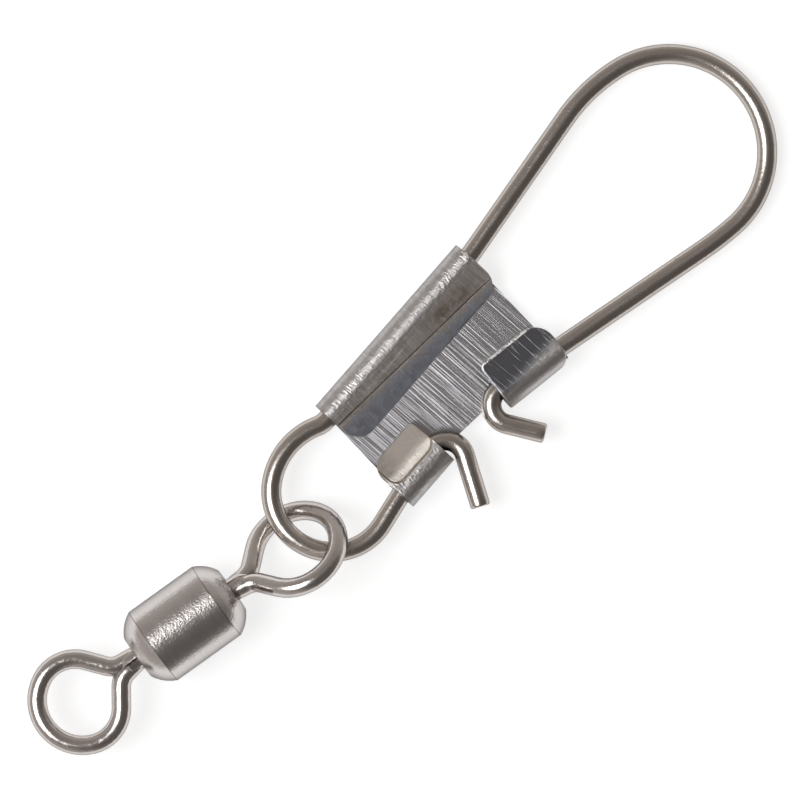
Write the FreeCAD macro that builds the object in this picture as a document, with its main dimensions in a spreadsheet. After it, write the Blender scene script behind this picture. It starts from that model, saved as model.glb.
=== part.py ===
import FreeCAD, Part
import math
import os

import Sketcher

# A fishing snap swivel lying at rest: a barrel swivel with a wire eye at each end, linked to a spring
# wire snap that is held in a folded lock plate. Millimetres, +Z up. The origin is the centre of the
# line eye, and +X runs along the whole length towards the big loop of the snap.

DIMENSIONS = [
    # The swivel
    ("eye_wire_diameter", 0.97, "wire of both swivel eyes"),
    ("line_eye_far_reach", 1.92, "eye centre to the ring's far side, on the wire's centre line"),
    ("line_eye_far_radius", 2.25, "centre line of this flatter ring's far side"),
    ("line_eye_side_radius", 1.83, "centre line of this ring's sides"),
    ("link_eye_far_reach", 2.19, "eye centre to the ring's far side, on the wire's centre line"),
    ("link_eye_far_radius", 2.34, "centre line of the ring's far side"),
    ("link_eye_side_radius", 2.13, "centre line of the ring's sides"),
    ("eye_far_angle", 66, "degrees of the far bend, to each side"),
    ("eye_side_angle", 77, "degrees of each side bend"),
    ("eye_flare_radius", 1.0, "bend where a side turns into a leg"),
    ("eye_leg_lean", 8, "degrees, each leg towards the other"),
    ("eye_leg_offset", 0.15, "each leg's centre line from the eye's axis, at the barrel"),
    ("eye_reach", 3.79, "eye centre to the barrel's end face"),
    ("eye_root_inset", 0.12, "where the legs end, short of the barrel's face"),
    ("neck_diameter", 1.2, "the two half-round legs side by side"),
    ("neck_cone_start", 1.2, "barrel's end face to where the legs begin to swell into the neck"),
    ("neck_cone_length", 0.6, "cone of that swelling"),
    ("neck_seam_depth", 0.18, "groove between the legs"),
    ("neck_seam_width", 0.22, "groove between the legs, at its mouth"),
    ("neck_hole_gap", 0.1, "radial running clearance in the barrel's end"),
    ("head_diameter", 2.1, "upset head that keeps each eye in the barrel"),
    ("head_thickness", 0.55, "rim of the head"),
    ("head_cone_length", 0.35, "underside of the head"),
    ("head_end_gap", 0.06, "play between the head and the barrel's end wall"),
    ("barrel_length", 5.74, "over both end faces"),
    ("barrel_diameter", 4.16, "outside, at its widest"),
    ("barrel_wall", 0.42, "drawn tube wall"),
    ("barrel_end_wall", 0.45, "swaged end wall"),
    ("barrel_shoulder_length", 0.95, "swaged shoulder, along the axis"),
    ("barrel_shoulder_radius", 1.95, "bulge of the swaged shoulder"),
    ("barrel_face_diameter", 2.36, "flat ring round each neck"),
    # How the swivel lies
    ("line_eye_yaw", -6.0, "degrees, line eye's axis from +X"),
    ("barrel_lean", 1.95, "degrees, barrel leaning on the line eye's neck"),
    ("link_eye_lean", 2.95, "degrees, link eye leaning in its hole"),
    ("link_eye_roll", 41.0, "degrees, link eye rolled about its neck"),
    # The snap wire
    ("wire_diameter", 1.0, "spring wire of the snap"),
    ("small_straight", 5.44, "from the tube's middle to the small loop"),
    ("small_set_radius", 1.2, "first bend of the small loop"),
    ("small_set_angle", 27.7, "degrees"),
    ("small_side_radius", 3.57, "side of the small loop"),
    ("small_side_angle", 58.6, "degrees"),
    ("small_end_radius", 3.0, "end of the small loop, where the link eye rides"),
    ("small_end_angle", 125.9, "degrees"),
    ("small_turn_radius", 2.88, "last bend before the lower tab"),
    ("small_turn_angle", 32.4, "degrees"),
    ("small_arm_length", 4.33, "straight through the lower tab"),
    ("big_straight", 5.35, "from the tube's middle to the big loop"),
    ("big_set_radius", 2.0, "first bend of the big loop"),
    ("big_set_angle", 6.3, "degrees"),
    ("big_leg_shortfall", 4.0, "how much shorter the straight leg is than the latch arm"),
    ("big_shoulder_radius", 8.95, "easing into the nose"),
    ("big_shoulder_angle", 23.05, "degrees"),
    ("nose_radius", 4.87, "round nose of the big loop"),
    ("nose_angle", 171.0, "degrees"),
    ("big_easing_radius", 17.0, "easing into the latch arm"),
    ("big_easing_angle", 6.9, "degrees"),
    ("latch_arm_length", 12.1, "straight into the upper tab"),
    ("hook_radius", 1.0, "centre line of both end hooks"),
    ("latch_hook_angle", 132.0, "degrees"),
    ("latch_tail_length", 1.96, "free tail of the latch hook"),
    ("small_hook_angle", 131.0, "degrees"),
    ("small_tail_length", 2.7, "free tail of the fixed hook"),
    ("wire_end_rounding", 0.12, "tumbled edge of the cut ends"),
    ("flex_gap", 0.02, "hairline between the fixed wire and the latch arm"),
    # The lock plate
    ("sheet", 0.33, "sheet thickness"),
    ("wire_lift", 0.03, "wire above the plate"),
    ("tube_length", 10.6, "rolled tube"),
    ("tube_clearance", 0.03, "wire in the tube, radially"),
    ("tube_round_angle", 22.0, "degrees the tube is round past its top, all along"),
    ("tube_low_wrap", 57.0, "degrees it wraps past its top at the small loop"),
    ("tube_high_wrap", 32.3, "degrees it wraps past its top at the big loop, less tightly"),
    ("tube_low_facet", 0.05, "straight down to the crease at the small loop"),
    ("tube_crease_radius", 0.3, "crease where the flap turns outwards"),
    ("tube_flap_slope", 23.3, "degrees, flap down to the plate"),
    ("tube_flap_reach", 2.1, "tube's axis to the flap's free edge"),
    ("tube_flap_low_corner", 1.05, "corner radius at the small loop"),
    ("tube_flap_high_corner", 0.95, "corner radius at the big loop"),
    ("plate_skew", 5.6, "degrees between the plate's edges and the tube"),
    ("plate_low_end", 5.24, "middle to the edge at the small loop"),
    ("plate_high_end", 5.25, "middle to the edge at the big loop"),
    ("plate_width", 5.57, "tube axis to the edge between the tabs"),
    ("tab_clearance", 0.05, "wire in the tabs, radially"),
    ("sheet_edge_rounding", 0.1, "rolled-over edge of the tube's flap and of both tabs"),
    ("fold_overlap", 0.53, "how far each fold's strip runs back into the plate"),
    ("open_tab_along", 1.537, "start of the latch hook back to the fold's middle, along the arm"),
    ("open_tab_aside", 0.14, "fold's axis beside the latch arm, away from the tube"),
    ("open_tab_twist", 4.45, "degrees between the latch arm and this fold"),
    ("open_tab_low_half", 1.74, "fold's middle to the hook's side"),
    ("open_tab_high_half", 2.1, "fold's middle to the big loop's side"),
    ("open_tab_flap", 1.78, "fold axis to the free edge"),
    ("open_tab_low_corner", 0.4, "flap corner radius at the hook"),
    ("open_tab_high_corner", 1.15, "flap corner radius at the big loop"),
    ("open_tab_fold_corner", 0.7, "corner radius at the fold's outer end"),
    ("shut_tab_x", 4.32, "middle of the shut tab's fold, along the tube"),
    ("shut_tab_y", 5.2, "fold of the shut tab from the tube"),
    ("shut_tab_half", 1.54, "fold's middle to either side"),
    ("shut_tab_flat", 0.4, "flat top before the pressed slope"),
    ("shut_tab_crease_radius", 1.0, "inside of the crease"),
    ("shut_tab_slope", 32.0, "degrees, pressed slope"),
    ("shut_tab_slope_length", 1.09, "pressed slope to the free edge"),
    ("shut_tab_low_corner", 0.95, "flap corner radius at the small loop"),
    ("shut_tab_high_corner", 0.35, "flap corner radius at the hook"),
    # How the snap lies
    ("snap_x", 24.06, "middle of the tube from the line eye"),
    ("snap_y", 2.19, "middle of the tube from the line eye"),
    ("snap_yaw", 5.3, "degrees, tube from +X"),
    ("link_x", 13.42, "where the small loop passes through the link eye"),
    ("link_drop", 0.33, "small loop's wire below the swivel axis there"),
]

MARGIN = 0.4
CUT_HEIGHT = 3.0

doc = FreeCAD.newDocument("snap_swivel")
sheet = doc.addObject("Spreadsheet::Sheet", "Sizes")
for row, (alias, value, note) in enumerate(DIMENSIONS, start=1):
    sheet.set(f"A{row}", alias)
    sheet.set(f"B{row}", str(value))
    sheet.set(f"C{row}", note)
    sheet.setAlias(f"B{row}", alias)
doc.recompute()


class Size:
    """A number and the sheet formula that gives it, so each relation is written once."""

    def __init__(self, value, formula):
        self.value = value
        self.formula = formula

    def __add__(self, other):
        other = as_size(other)
        return Size(self.value + other.value, f"({self.formula} + {other.formula})")

    def __sub__(self, other):
        other = as_size(other)
        return Size(self.value - other.value, f"({self.formula} - {other.formula})")

    def __mul__(self, factor):
        return Size(self.value * factor, f"({self.formula} * {factor})")

    def __truediv__(self, divisor):
        return Size(self.value / divisor, f"({self.formula} / {divisor})")

    def __neg__(self):
        return Size(-self.value, f"(0 - {self.formula})")


def as_size(number):
    if isinstance(number, Size):
        return number
    return Size(float(number), repr(float(number)))


def size(alias):
    return Size(float(sheet.get(alias)), f"Sizes.{alias}")


def amount(alias):
    return size(alias).value


def origin_plane(body, role):
    for feature in body.Origin.OriginFeatures:
        if feature.Role == role:
            return feature


def new_body(label):
    body = doc.addObject("PartDesign::Body", label)
    body.Label = label
    return body


def new_sketch(body, name, role, across=0, up=0, out=0, turn=0, axis=(0, 0, 1)):
    """A sketch on one of the body's own planes, shifted and turned by sizes from the sheet."""
    sketch = body.newObject("Sketcher::SketchObject", name)
    sketch.AttachmentSupport = [(origin_plane(body, role), "")]
    sketch.MapMode = "FlatFace"
    places = [as_size(across), as_size(up), as_size(out)]
    angle = as_size(turn)
    shift = FreeCAD.Vector(*[place.value for place in places])
    rotation = FreeCAD.Rotation(FreeCAD.Vector(*axis), angle.value)
    sketch.AttachmentOffset = FreeCAD.Placement(shift, rotation)
    for letter, place in zip("xyz", places):
        if isinstance(place, Size) and "Sizes" in place.formula:
            sketch.setExpression(f".AttachmentOffset.Base.{letter}", place.formula)
    if "Sizes" in angle.formula:
        sketch.setExpression(".AttachmentOffset.Rotation.Angle", angle.formula)
    return sketch


def rule(sketch, kind, *elements, to=None):
    """Adds one constraint, and ties it to the sheet when it has a size."""
    if to is None:
        return sketch.addConstraint(Sketcher.Constraint(kind, *elements))
    to = as_size(to)
    number = math.radians(to.value) if kind == "Angle" else to.value
    index = sketch.addConstraint(Sketcher.Constraint(kind, *elements, number))
    if "Sizes" in to.formula:
        sketch.setExpression(f"Constraints[{index}]", to.formula)
    return index


def vector(x, y):
    return FreeCAD.Vector(x, y, 0)


def heading_vector(degrees):
    return vector(math.cos(math.radians(degrees)), math.sin(math.radians(degrees)))


class Bender:
    """Draws feeds and bends one after another, as a wire or a strip is bent, each tangent to the last."""

    def __init__(self, sketch, start, heading):
        self.sketch = sketch
        self.point = start
        self.heading = heading
        self.last = None
        self.first = None

    def join(self, index, start_end, finish_end):
        if self.last is not None:
            rule(self.sketch, "Tangent", self.last[0], self.last[1], index, start_end)
        else:
            self.first = (index, start_end)
        self.last = (index, finish_end)

    def feed(self, length):
        rule(self.sketch, "Distance", self.pass_straight(length.value), to=length)

    def pass_straight(self, length):
        """A straight whose length follows from the rest of the sketch."""
        finish = self.point + heading_vector(self.heading) * length
        index = self.sketch.addGeometry(Part.LineSegment(self.point, finish))
        self.join(index, 1, 2)
        self.point = finish
        return index

    def bend(self, radius, angle, side):
        """side is 1 for a bend to the left and -1 for one to the right."""
        to_centre = heading_vector(self.heading + 90 * side)
        centre = self.point + to_centre * radius.value
        circle = Part.Circle(centre, FreeCAD.Vector(0, 0, 1), radius.value)
        begin = self.heading - 90 * side
        finish = begin + angle.value * side
        low, high = sorted((begin, finish))
        arc = Part.ArcOfCircle(circle, math.radians(low), math.radians(high))
        index = self.sketch.addGeometry(arc)
        ends = (1, 2) if side > 0 else (2, 1)
        self.join(index, *ends)
        rule(self.sketch, "Radius", index, to=radius)
        rule(self.sketch, "Angle", index, to=angle)
        self.point = centre + heading_vector(finish) * radius.value
        self.heading = self.heading + angle.value * side


def run_table(bender, table):
    for step in table:
        if len(step) == 1:
            bender.feed(step[0])
        else:
            bender.bend(*step)


def follow(table, start, heading):
    """The points and headings that a bending table passes through, from plain numbers."""
    stops = [(start, heading)]
    point = start
    for step in table:
        if len(step) == 1:
            point = point + heading_vector(heading) * step[0].value
        else:
            radius, angle, side = step
            centre = point + heading_vector(heading + 90 * side) * radius.value
            heading = heading + angle.value * side
            point = centre + heading_vector(heading - 90 * side) * radius.value
        stops.append((point, heading))
    return stops


def add_circle(sketch, diameter):
    index = sketch.addGeometry(Part.Circle(vector(0, 0), FreeCAD.Vector(0, 0, 1), diameter.value / 2))
    rule(sketch, "Coincident", index, 3, -1, 1)
    rule(sketch, "Diameter", index, to=diameter)


def add_polygon(sketch, corners):
    """A closed outline of straight lines through corners whose places are sizes."""
    count = len(corners)
    points = [vector(x.value, y.value) for x, y in corners]
    lines = []
    for here in range(count):
        lines.append(sketch.addGeometry(Part.LineSegment(points[here], points[(here + 1) % count])))
    for here in range(count):
        rule(sketch, "Coincident", lines[here], 2, lines[(here + 1) % count], 1)
    for line, (x, y) in zip(lines, corners):
        place(sketch, line, 1, x, y)
    return lines


def place(sketch, element, end, x, y):
    """Fixes one end of a line by its distances from the sketch's origin."""
    if x.value == 0:
        rule(sketch, "PointOnObject", element, end, -2)
    else:
        rule(sketch, "DistanceX", -1, 1, element, end, to=x)
    if y.value == 0:
        rule(sketch, "PointOnObject", element, end, -1)
    else:
        rule(sketch, "DistanceY", -1, 1, element, end, to=y)


def sweep(body, name, profile, path):
    pipe = body.newObject("PartDesign::AdditivePipe", name)
    pipe.Profile = profile
    pipe.Spine = (path, [f"Edge{n + 1}" for n in range(path.GeometryCount)])
    profile.Visibility = False
    path.Visibility = False
    doc.recompute()
    return pipe


def revolve(body, name, sketch):
    turned = body.newObject("PartDesign::Revolution", name)
    turned.Profile = sketch
    turned.ReferenceAxis = (sketch, ["H_Axis"])
    turned.Angle = 360
    doc.recompute()
    return turned


def loft(body, name, first, last):
    """Straight lines from one section to the other."""
    block = body.newObject("PartDesign::AdditiveLoft", name)
    block.Profile = first
    block.Sections = [last]
    block.Ruled = True
    first.Visibility = False
    last.Visibility = False
    doc.recompute()
    return block


def pad(body, name, sketch, length, back_too=False):
    block = body.newObject("PartDesign::Pad", name)
    block.Profile = sketch
    block.setExpression("Length", length.formula)
    block.Midplane = back_too
    doc.recompute()
    return block


def pocket(body, name, sketch, depth, reverse=False):
    cut = body.newObject("PartDesign::Pocket", name)
    cut.Profile = sketch
    cut.Length = depth
    cut.Reversed = reverse
    before = body.Shape.Volume
    doc.recompute()
    if body.Shape.Volume >= before - 1e-6:
        raise RuntimeError(f"{name} removed nothing")
    return cut


def round_cut_end(body, name, where, radius_alias):
    """Rounds the edge round a wire's cut end."""
    edges = []
    for number, edge in enumerate(body.Shape.Edges, start=1):
        if edge.isClosed() and (edge.CenterOfMass - where).Length < amount("wire_end_rounding"):
            edges.append(f"Edge{number}")
    wire = body.Tip
    rounding = body.newObject("PartDesign::Fillet", name)
    rounding.Base = (wire, edges)
    rounding.setExpression("Radius", f"Sizes.{radius_alias}")
    doc.recompute()
    return rounding


# The two swivel eyes: a round ring whose two legs lie side by side as a neck, with an upset head
# that stays inside the barrel. In its own frame the ring's centre is the origin and the neck is +X.

def eye_side_straight(label):
    """Length of the straight between the side bend and the flare, so that the leg meets the neck."""
    bends = [
        (size(f"{label}_far_radius"), size("eye_far_angle"), -1),
        (size(f"{label}_side_radius"), size("eye_side_angle"), -1),
        (size("eye_flare_radius"), flare_angle(), 1),
    ]
    stops = follow(bends, vector(-amount(f"{label}_far_reach"), 0), 90)
    heading = stops[2][1]
    after = stops[3][0]
    # Height of the flare's end over the leg's line, and how fast the straight closes that height.
    slope = math.tan(math.radians(amount("eye_leg_lean")))
    over = after.y - amount("eye_leg_offset") - slope * (leg_root().value - after.x)
    closing = heading_vector(heading)
    return over / (-closing.y - slope * closing.x)


def flare_angle():
    return size("eye_far_angle") + size("eye_side_angle") - size("eye_leg_lean") - 90


def leg_root():
    return size("eye_reach") - size("eye_root_inset")


def eye_ring(body, label):
    """Half of the wire, from the far side of the ring to the neck, and its mirror image."""
    sketch = new_sketch(body, "ring_path", "XY_Plane")
    far = -size(f"{label}_far_reach")
    bender = Bender(sketch, vector(far.value, 0), 90)
    bender.bend(size(f"{label}_far_radius"), size("eye_far_angle"), -1)
    far_start = bender.first
    bender.bend(size(f"{label}_side_radius"), size("eye_side_angle"), -1)
    bender.pass_straight(eye_side_straight(label))
    bender.bend(size("eye_flare_radius"), flare_angle(), 1)
    leg_length = (leg_root().value - bender.point.x) / math.cos(math.radians(amount("eye_leg_lean")))
    bender.pass_straight(leg_length)
    rule(sketch, "Horizontal", *far_start, far_start[0], 3)
    rule(sketch, "PointOnObject", *far_start, -1)
    rule(sketch, "DistanceX", -1, 1, *far_start, to=far)
    rule(sketch, "DistanceX", -1, 1, *bender.last, to=leg_root())
    rule(sketch, "DistanceY", -1, 1, *bender.last, to=size("eye_leg_offset"))
    profile = new_sketch(body, "ring_section", "XZ_Plane", across=far)
    add_circle(profile, size("eye_wire_diameter"))
    half = sweep(body, "half_ring", profile, sketch)
    whole = body.newObject("PartDesign::Mirrored", "whole_ring")
    whole.Originals = [half]
    whole.MirrorPlane = (origin_plane(body, "XZ_Plane"), [""])
    body.Tip = whole
    doc.recompute()


def eye_neck_and_head(body):
    neck = size("neck_diameter") / 2
    head = size("head_diameter") / 2
    inside = size("eye_reach") + size("barrel_end_wall") + size("head_end_gap")
    cone_start = size("eye_reach") - size("neck_cone_start")
    cone_end = cone_start + size("neck_cone_length")
    rim = inside + size("head_cone_length")
    zero = as_size(0)
    sketch = new_sketch(body, "neck_profile", "XY_Plane")
    add_polygon(sketch, [
        (cone_start, zero),
        (inside + size("head_cone_length") + size("head_thickness"), zero),
        (inside + size("head_cone_length") + size("head_thickness"), head - size("head_cone_length") / 2),
        (rim + size("head_thickness") / 2, head),
        (rim, head),
        (inside, neck),
        (cone_end, neck),
        (cone_start, neck / 2),
    ])
    revolve(body, "neck_and_head", sketch)


def eye_seam(body):
    """The groove where the two half-round legs meet, on both faces of the neck."""
    neck = size("neck_diameter") / 2
    half_width = size("neck_seam_width") / 2
    bottom = neck - size("neck_seam_depth")
    mouth = neck + size("neck_seam_depth")
    start = size("eye_reach") - size("neck_cone_start")
    length = size("neck_cone_start") + size("barrel_end_wall")
    for name, side in (("top_seam", 1), ("bottom_seam", -1)):
        sketch = new_sketch(body, f"{name}_profile", "YZ_Plane", out=start)
        add_polygon(sketch, [
            (as_size(0), bottom * side),
            (half_width * side, mouth * side),
            (-half_width * side, mouth * side),
        ])
        cut = pocket(body, name, sketch, length.value, reverse=True)
        cut.setExpression("Length", length.formula)
    doc.recompute()


def make_eye(label):
    body = new_body(label)
    eye_ring(body, label)
    eye_neck_and_head(body)
    eye_seam(body)
    return body


# The barrel: a drawn tube with both ends swaged in over the heads. Its frame is centred, axis on X.

def make_barrel():
    body = new_body("barrel")
    half = size("barrel_length") / 2
    outer = size("barrel_diameter") / 2
    shoulder = half - size("barrel_shoulder_length")
    face = size("barrel_face_diameter") / 2
    hole = size("neck_diameter") / 2 + size("neck_hole_gap")
    bore = outer - size("barrel_wall")
    wall = half - size("barrel_end_wall")
    sketch = new_sketch(body, "barrel_profile", "XY_Plane")
    bulge = amount("barrel_shoulder_radius")

    def shoulder_arc(side):
        low = vector(side * half.value, face.value)
        high = vector(side * shoulder.value, outer.value)
        chord = high - low
        middle = (low + high) / 2
        outwards = vector(side * abs(chord.y), abs(chord.x)).normalize()
        rise = bulge - math.sqrt(bulge ** 2 - (chord.Length / 2) ** 2)
        return Part.Arc(low, middle + outwards * rise, high)

    right_arc = sketch.addGeometry(shoulder_arc(1))
    top = sketch.addGeometry(Part.LineSegment(
        vector(shoulder.value, outer.value), vector(-shoulder.value, outer.value)))
    left_arc = sketch.addGeometry(shoulder_arc(-1))
    # Down the left face, along the hole, round the cavity, and back to the right face.
    inside = [
        (-half, face),
        (-half, hole),
        (-wall, hole),
        (-wall, face),
        (-shoulder, bore),
        (shoulder, bore),
        (wall, face),
        (wall, hole),
        (half, hole),
        (half, face),
    ]
    points = [vector(x.value, y.value) for x, y in inside]
    lines = [sketch.addGeometry(Part.LineSegment(a, b)) for a, b in zip(points, points[1:])]
    for here, there in zip(lines, lines[1:]):
        rule(sketch, "Coincident", here, 2, there, 1)
    for line, (x, y) in zip(lines, inside):
        place(sketch, line, 1, x, y)
    place(sketch, lines[-1], 2, half, face)
    place(sketch, top, 1, shoulder, outer)
    place(sketch, top, 2, -shoulder, outer)
    # An arc is drawn anticlockwise, so each one's two ends are matched by where they are.
    for arc, line, end, top_end in ((right_arc, lines[-1], 2, 1), (left_arc, lines[0], 1, 2)):
        low_end, high_end = sorted((1, 2), key=lambda which: sketch.getPoint(arc, which).y)
        rule(sketch, "Coincident", arc, low_end, line, end)
        rule(sketch, "Coincident", arc, high_end, top, top_end)
        rule(sketch, "Radius", arc, to=size("barrel_shoulder_radius"))
    revolve(body, "barrel_shell", sketch)
    return body


# The snap wire, bent from one length of spring wire. Its frame has the wire's plane as XY, the
# middle of the lock plate's tube as the origin and the tube's axis as X.

def small_side():
    """From the tube's middle round the small loop to the fixed hook, heading towards -X."""
    return [
        (size("small_straight"),),
        (size("small_set_radius"), size("small_set_angle"), -1),
        (size("small_side_radius"), size("small_side_angle"), 1),
        (size("small_end_radius"), size("small_end_angle"), 1),
        (size("small_turn_radius"), size("small_turn_angle"), 1),
        (size("small_arm_length"),),
        (size("hook_radius"), size("small_hook_angle"), -1),
        (size("small_tail_length"),),
    ]


def leg_side():
    """From the tube's middle to the end of the big loop's straight leg, heading towards +X."""
    return [
        (size("big_straight"),),
        (size("big_set_radius"), size("big_set_angle"), 1),
        (size("latch_arm_length") - size("big_leg_shortfall") - size("flex_gap"),),
    ]


# How many steps of the latch arm's table lie before two places that other pieces need.
SHOULDER_END = 1
ARM_END = 4


def latch_side():
    """From the end of the leg round the nose and down the latch arm to its hook."""
    return [
        (size("big_shoulder_radius"), size("big_shoulder_angle"), -1),
        (size("nose_radius"), size("nose_angle"), -1),
        (size("big_easing_radius"), size("big_easing_angle"), -1),
        (size("latch_arm_length"),),
        (size("hook_radius"), size("latch_hook_angle"), 1),
        (size("latch_tail_length"),),
    ]


def latch_start():
    """Where the latch arm begins, past the hairline at the end of the leg, and its heading there."""
    leg_end, heading = follow(leg_side(), vector(0, 0), 0)[-1]
    return leg_end + heading_vector(heading) * amount("flex_gap"), heading


def latch_stop(steps):
    """The latch arm's place and heading after that many steps of its bending table."""
    return follow(latch_side(), *latch_start())[steps]


def wire_path(body, name, table, heading):
    sketch = new_sketch(body, name, "XY_Plane")
    bender = Bender(sketch, vector(0, 0), heading)
    run_table(bender, table)
    rule(sketch, "Coincident", bender.first[0], bender.first[1], -1, 1)
    return sketch, bender


def make_snap_wire():
    body = new_body("snap_wire")
    small_path, small_end = wire_path(body, "small_loop_path", small_side(), 180)
    rule(small_path, "Horizontal", small_end.first[0])
    leg_path, leg_end = wire_path(body, "leg_path", leg_side(), 0)
    rule(leg_path, "Horizontal", leg_end.first[0])
    for name, path in (("small_loop", small_path), ("leg", leg_path)):
        section = new_sketch(body, f"{name}_section", "YZ_Plane")
        add_circle(section, size("wire_diameter"))
        sweep(body, name, section, path)
    round_cut_end(body, "hook_end", small_end.point, "wire_end_rounding")
    return body


def make_latch_arm():
    """In its own frame the arm starts at the origin, heading along X."""
    body = new_body("latch_arm")
    path, end = wire_path(body, "latch_path", latch_side(), 0)
    rule(path, "Vertical", end.first[0], end.first[1], end.first[0], 3)
    section = new_sketch(body, "latch_section", "YZ_Plane")
    add_circle(section, size("wire_diameter"))
    sweep(body, "arm", section, path)
    round_cut_end(body, "hook_end", end.point, "wire_end_rounding")
    return body


# The lock plate, folded from one sheet: a flat plate, a tube rolled round the wire along one edge,
# and two tabs folded over the wire on the other. Its underside is the plane Z = 0 of its frame.

def bend_strip(sketch, outer, inner, bends):
    """Both faces of a strip and its two ends. A bend's radius is that of the face inside it."""
    thickness = size("sheet")
    root = sketch.addGeometry(Part.LineSegment(inner.point, outer.point))
    for step in bends:
        if len(step) == 1:
            outer.feed(step[0])
            inner.feed(step[0])
            continue
        radius, angle, side = step
        outer.bend(radius + thickness if side > 0 else radius, angle, side)
        inner.bend(radius if side > 0 else radius + thickness, angle, side)
    tip = sketch.addGeometry(Part.LineSegment(outer.point, inner.point))
    rule(sketch, "Coincident", root, 1, inner.first[0], inner.first[1])
    rule(sketch, "Coincident", root, 2, outer.first[0], outer.first[1])
    rule(sketch, "Coincident", tip, 1, outer.last[0], outer.last[1])
    rule(sketch, "Coincident", tip, 2, inner.last[0], inner.last[1])
    return root


def fold_section(sketch, strip, bends):
    """The section of a strip: the same bends on both of its faces, joined by the two cut ends."""
    thickness = size("sheet")
    start_x = -strip
    outer = Bender(sketch, vector(start_x.value, 0), 0)
    inner = Bender(sketch, vector(start_x.value, thickness.value), 0)
    root = bend_strip(sketch, outer, inner, [(strip,)] + bends)
    rule(sketch, "Horizontal", outer.first[0])
    rule(sketch, "Horizontal", inner.first[0])
    place(sketch, root, 2, start_x, as_size(0))
    place(sketch, root, 1, start_x, thickness)


def trim_corner(body, name, x, y, radius, turn):
    """Rounds one corner of a flap, above the plate. turn 0 is a corner that points to +X and +Y."""
    sketch = new_sketch(body, f"{name}_outline", "XY_Plane", across=x, up=y, out=size("sheet"), turn=turn)
    back = -radius.value
    arc_circle = Part.Circle(vector(back, back), FreeCAD.Vector(0, 0, 1), radius.value)
    arc = sketch.addGeometry(Part.ArcOfCircle(arc_circle, 0, math.radians(90)))
    corners = [(back, 0), (back, MARGIN), (MARGIN, MARGIN), (MARGIN, back), (0, back)]
    points = [vector(*corner) for corner in corners]
    lines = [sketch.addGeometry(Part.LineSegment(a, b)) for a, b in zip(points, points[1:])]
    rule(sketch, "Coincident", arc, 2, lines[0], 1)
    rule(sketch, "Coincident", arc, 1, lines[-1], 2)
    for here, there in zip(lines, lines[1:]):
        rule(sketch, "Coincident", here, 2, there, 1)
    for line, direction in zip(lines, ("Vertical", "Horizontal", "Vertical", "Horizontal")):
        rule(sketch, direction, line)
    rule(sketch, "PointOnObject", arc, 2, -1)
    rule(sketch, "PointOnObject", arc, 1, -2)
    rule(sketch, "Radius", arc, to=radius)
    rule(sketch, "Vertical", arc, 2, arc, 3)
    rule(sketch, "DistanceX", -1, 1, lines[1], 2, to=MARGIN)
    rule(sketch, "DistanceY", -1, 1, lines[1], 2, to=MARGIN)
    return pocket(body, name, sketch, CUT_HEIGHT, reverse=True)


def plate_outline(body):
    """The flat plate: square to itself, but cut off at a slant along the tube's axis."""
    sketch = new_sketch(body, "plate_outline", "XY_Plane", turn=-size("plate_skew"))
    slope = math.tan(math.radians(amount("plate_skew")))
    low = -size("plate_low_end")
    high = size("plate_high_end")
    edge = -size("plate_width")
    points = [
        vector(low.value, low.value * slope),
        vector(low.value, edge.value),
        vector(high.value, edge.value),
        vector(high.value, high.value * slope),
    ]
    lines = [sketch.addGeometry(Part.LineSegment(points[n], points[(n + 1) % 4])) for n in range(4)]
    for here in range(4):
        rule(sketch, "Coincident", lines[here], 2, lines[(here + 1) % 4], 1)
    rule(sketch, "Vertical", lines[0])
    rule(sketch, "Horizontal", lines[1])
    rule(sketch, "Vertical", lines[2])
    rule(sketch, "PointOnObject", -1, 1, lines[3])
    rule(sketch, "Angle", -1, 1, lines[3], 2, to=size("plate_skew"))
    rule(sketch, "DistanceX", -1, 1, lines[0], 2, to=low)
    rule(sketch, "DistanceY", -1, 1, lines[0], 2, to=edge)
    rule(sketch, "DistanceX", -1, 1, lines[2], 1, to=high)
    pad(body, "plate", sketch, size("sheet"))


def tube_bore():
    return size("wire_diameter") / 2 + size("tube_clearance")


def crease_end(wrap, facet):
    """Outer side of the sheet just past the crease, at one end of the tube, from plain numbers."""
    bends = [
        (tube_bore() + size("sheet"), wrap + 180, 1),
        (facet,),
        (size("tube_crease_radius"), wrap - size("tube_flap_slope"), -1),
    ]
    return follow(bends, vector(0, 0), 0)[-1][0]


def flap_height(wrap, facet):
    """Outer height of the flap's free edge."""
    crease = crease_end(wrap, facet)
    fall = math.tan(math.radians(amount("tube_flap_slope")))
    return crease.y - (amount("tube_flap_reach") + crease.x) * fall


def high_facet():
    """The facet at the big loop's end, so that the flap's free edge lies level all along."""
    wrap = size("tube_high_wrap")
    low_facet = size("tube_low_facet")
    excess = flap_height(wrap, low_facet) - flap_height(size("tube_low_wrap"), low_facet)
    down = math.radians(wrap.value)
    fall = math.tan(math.radians(amount("tube_flap_slope")))
    return low_facet + excess / (math.sin(down) - math.cos(down) * fall)


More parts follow.
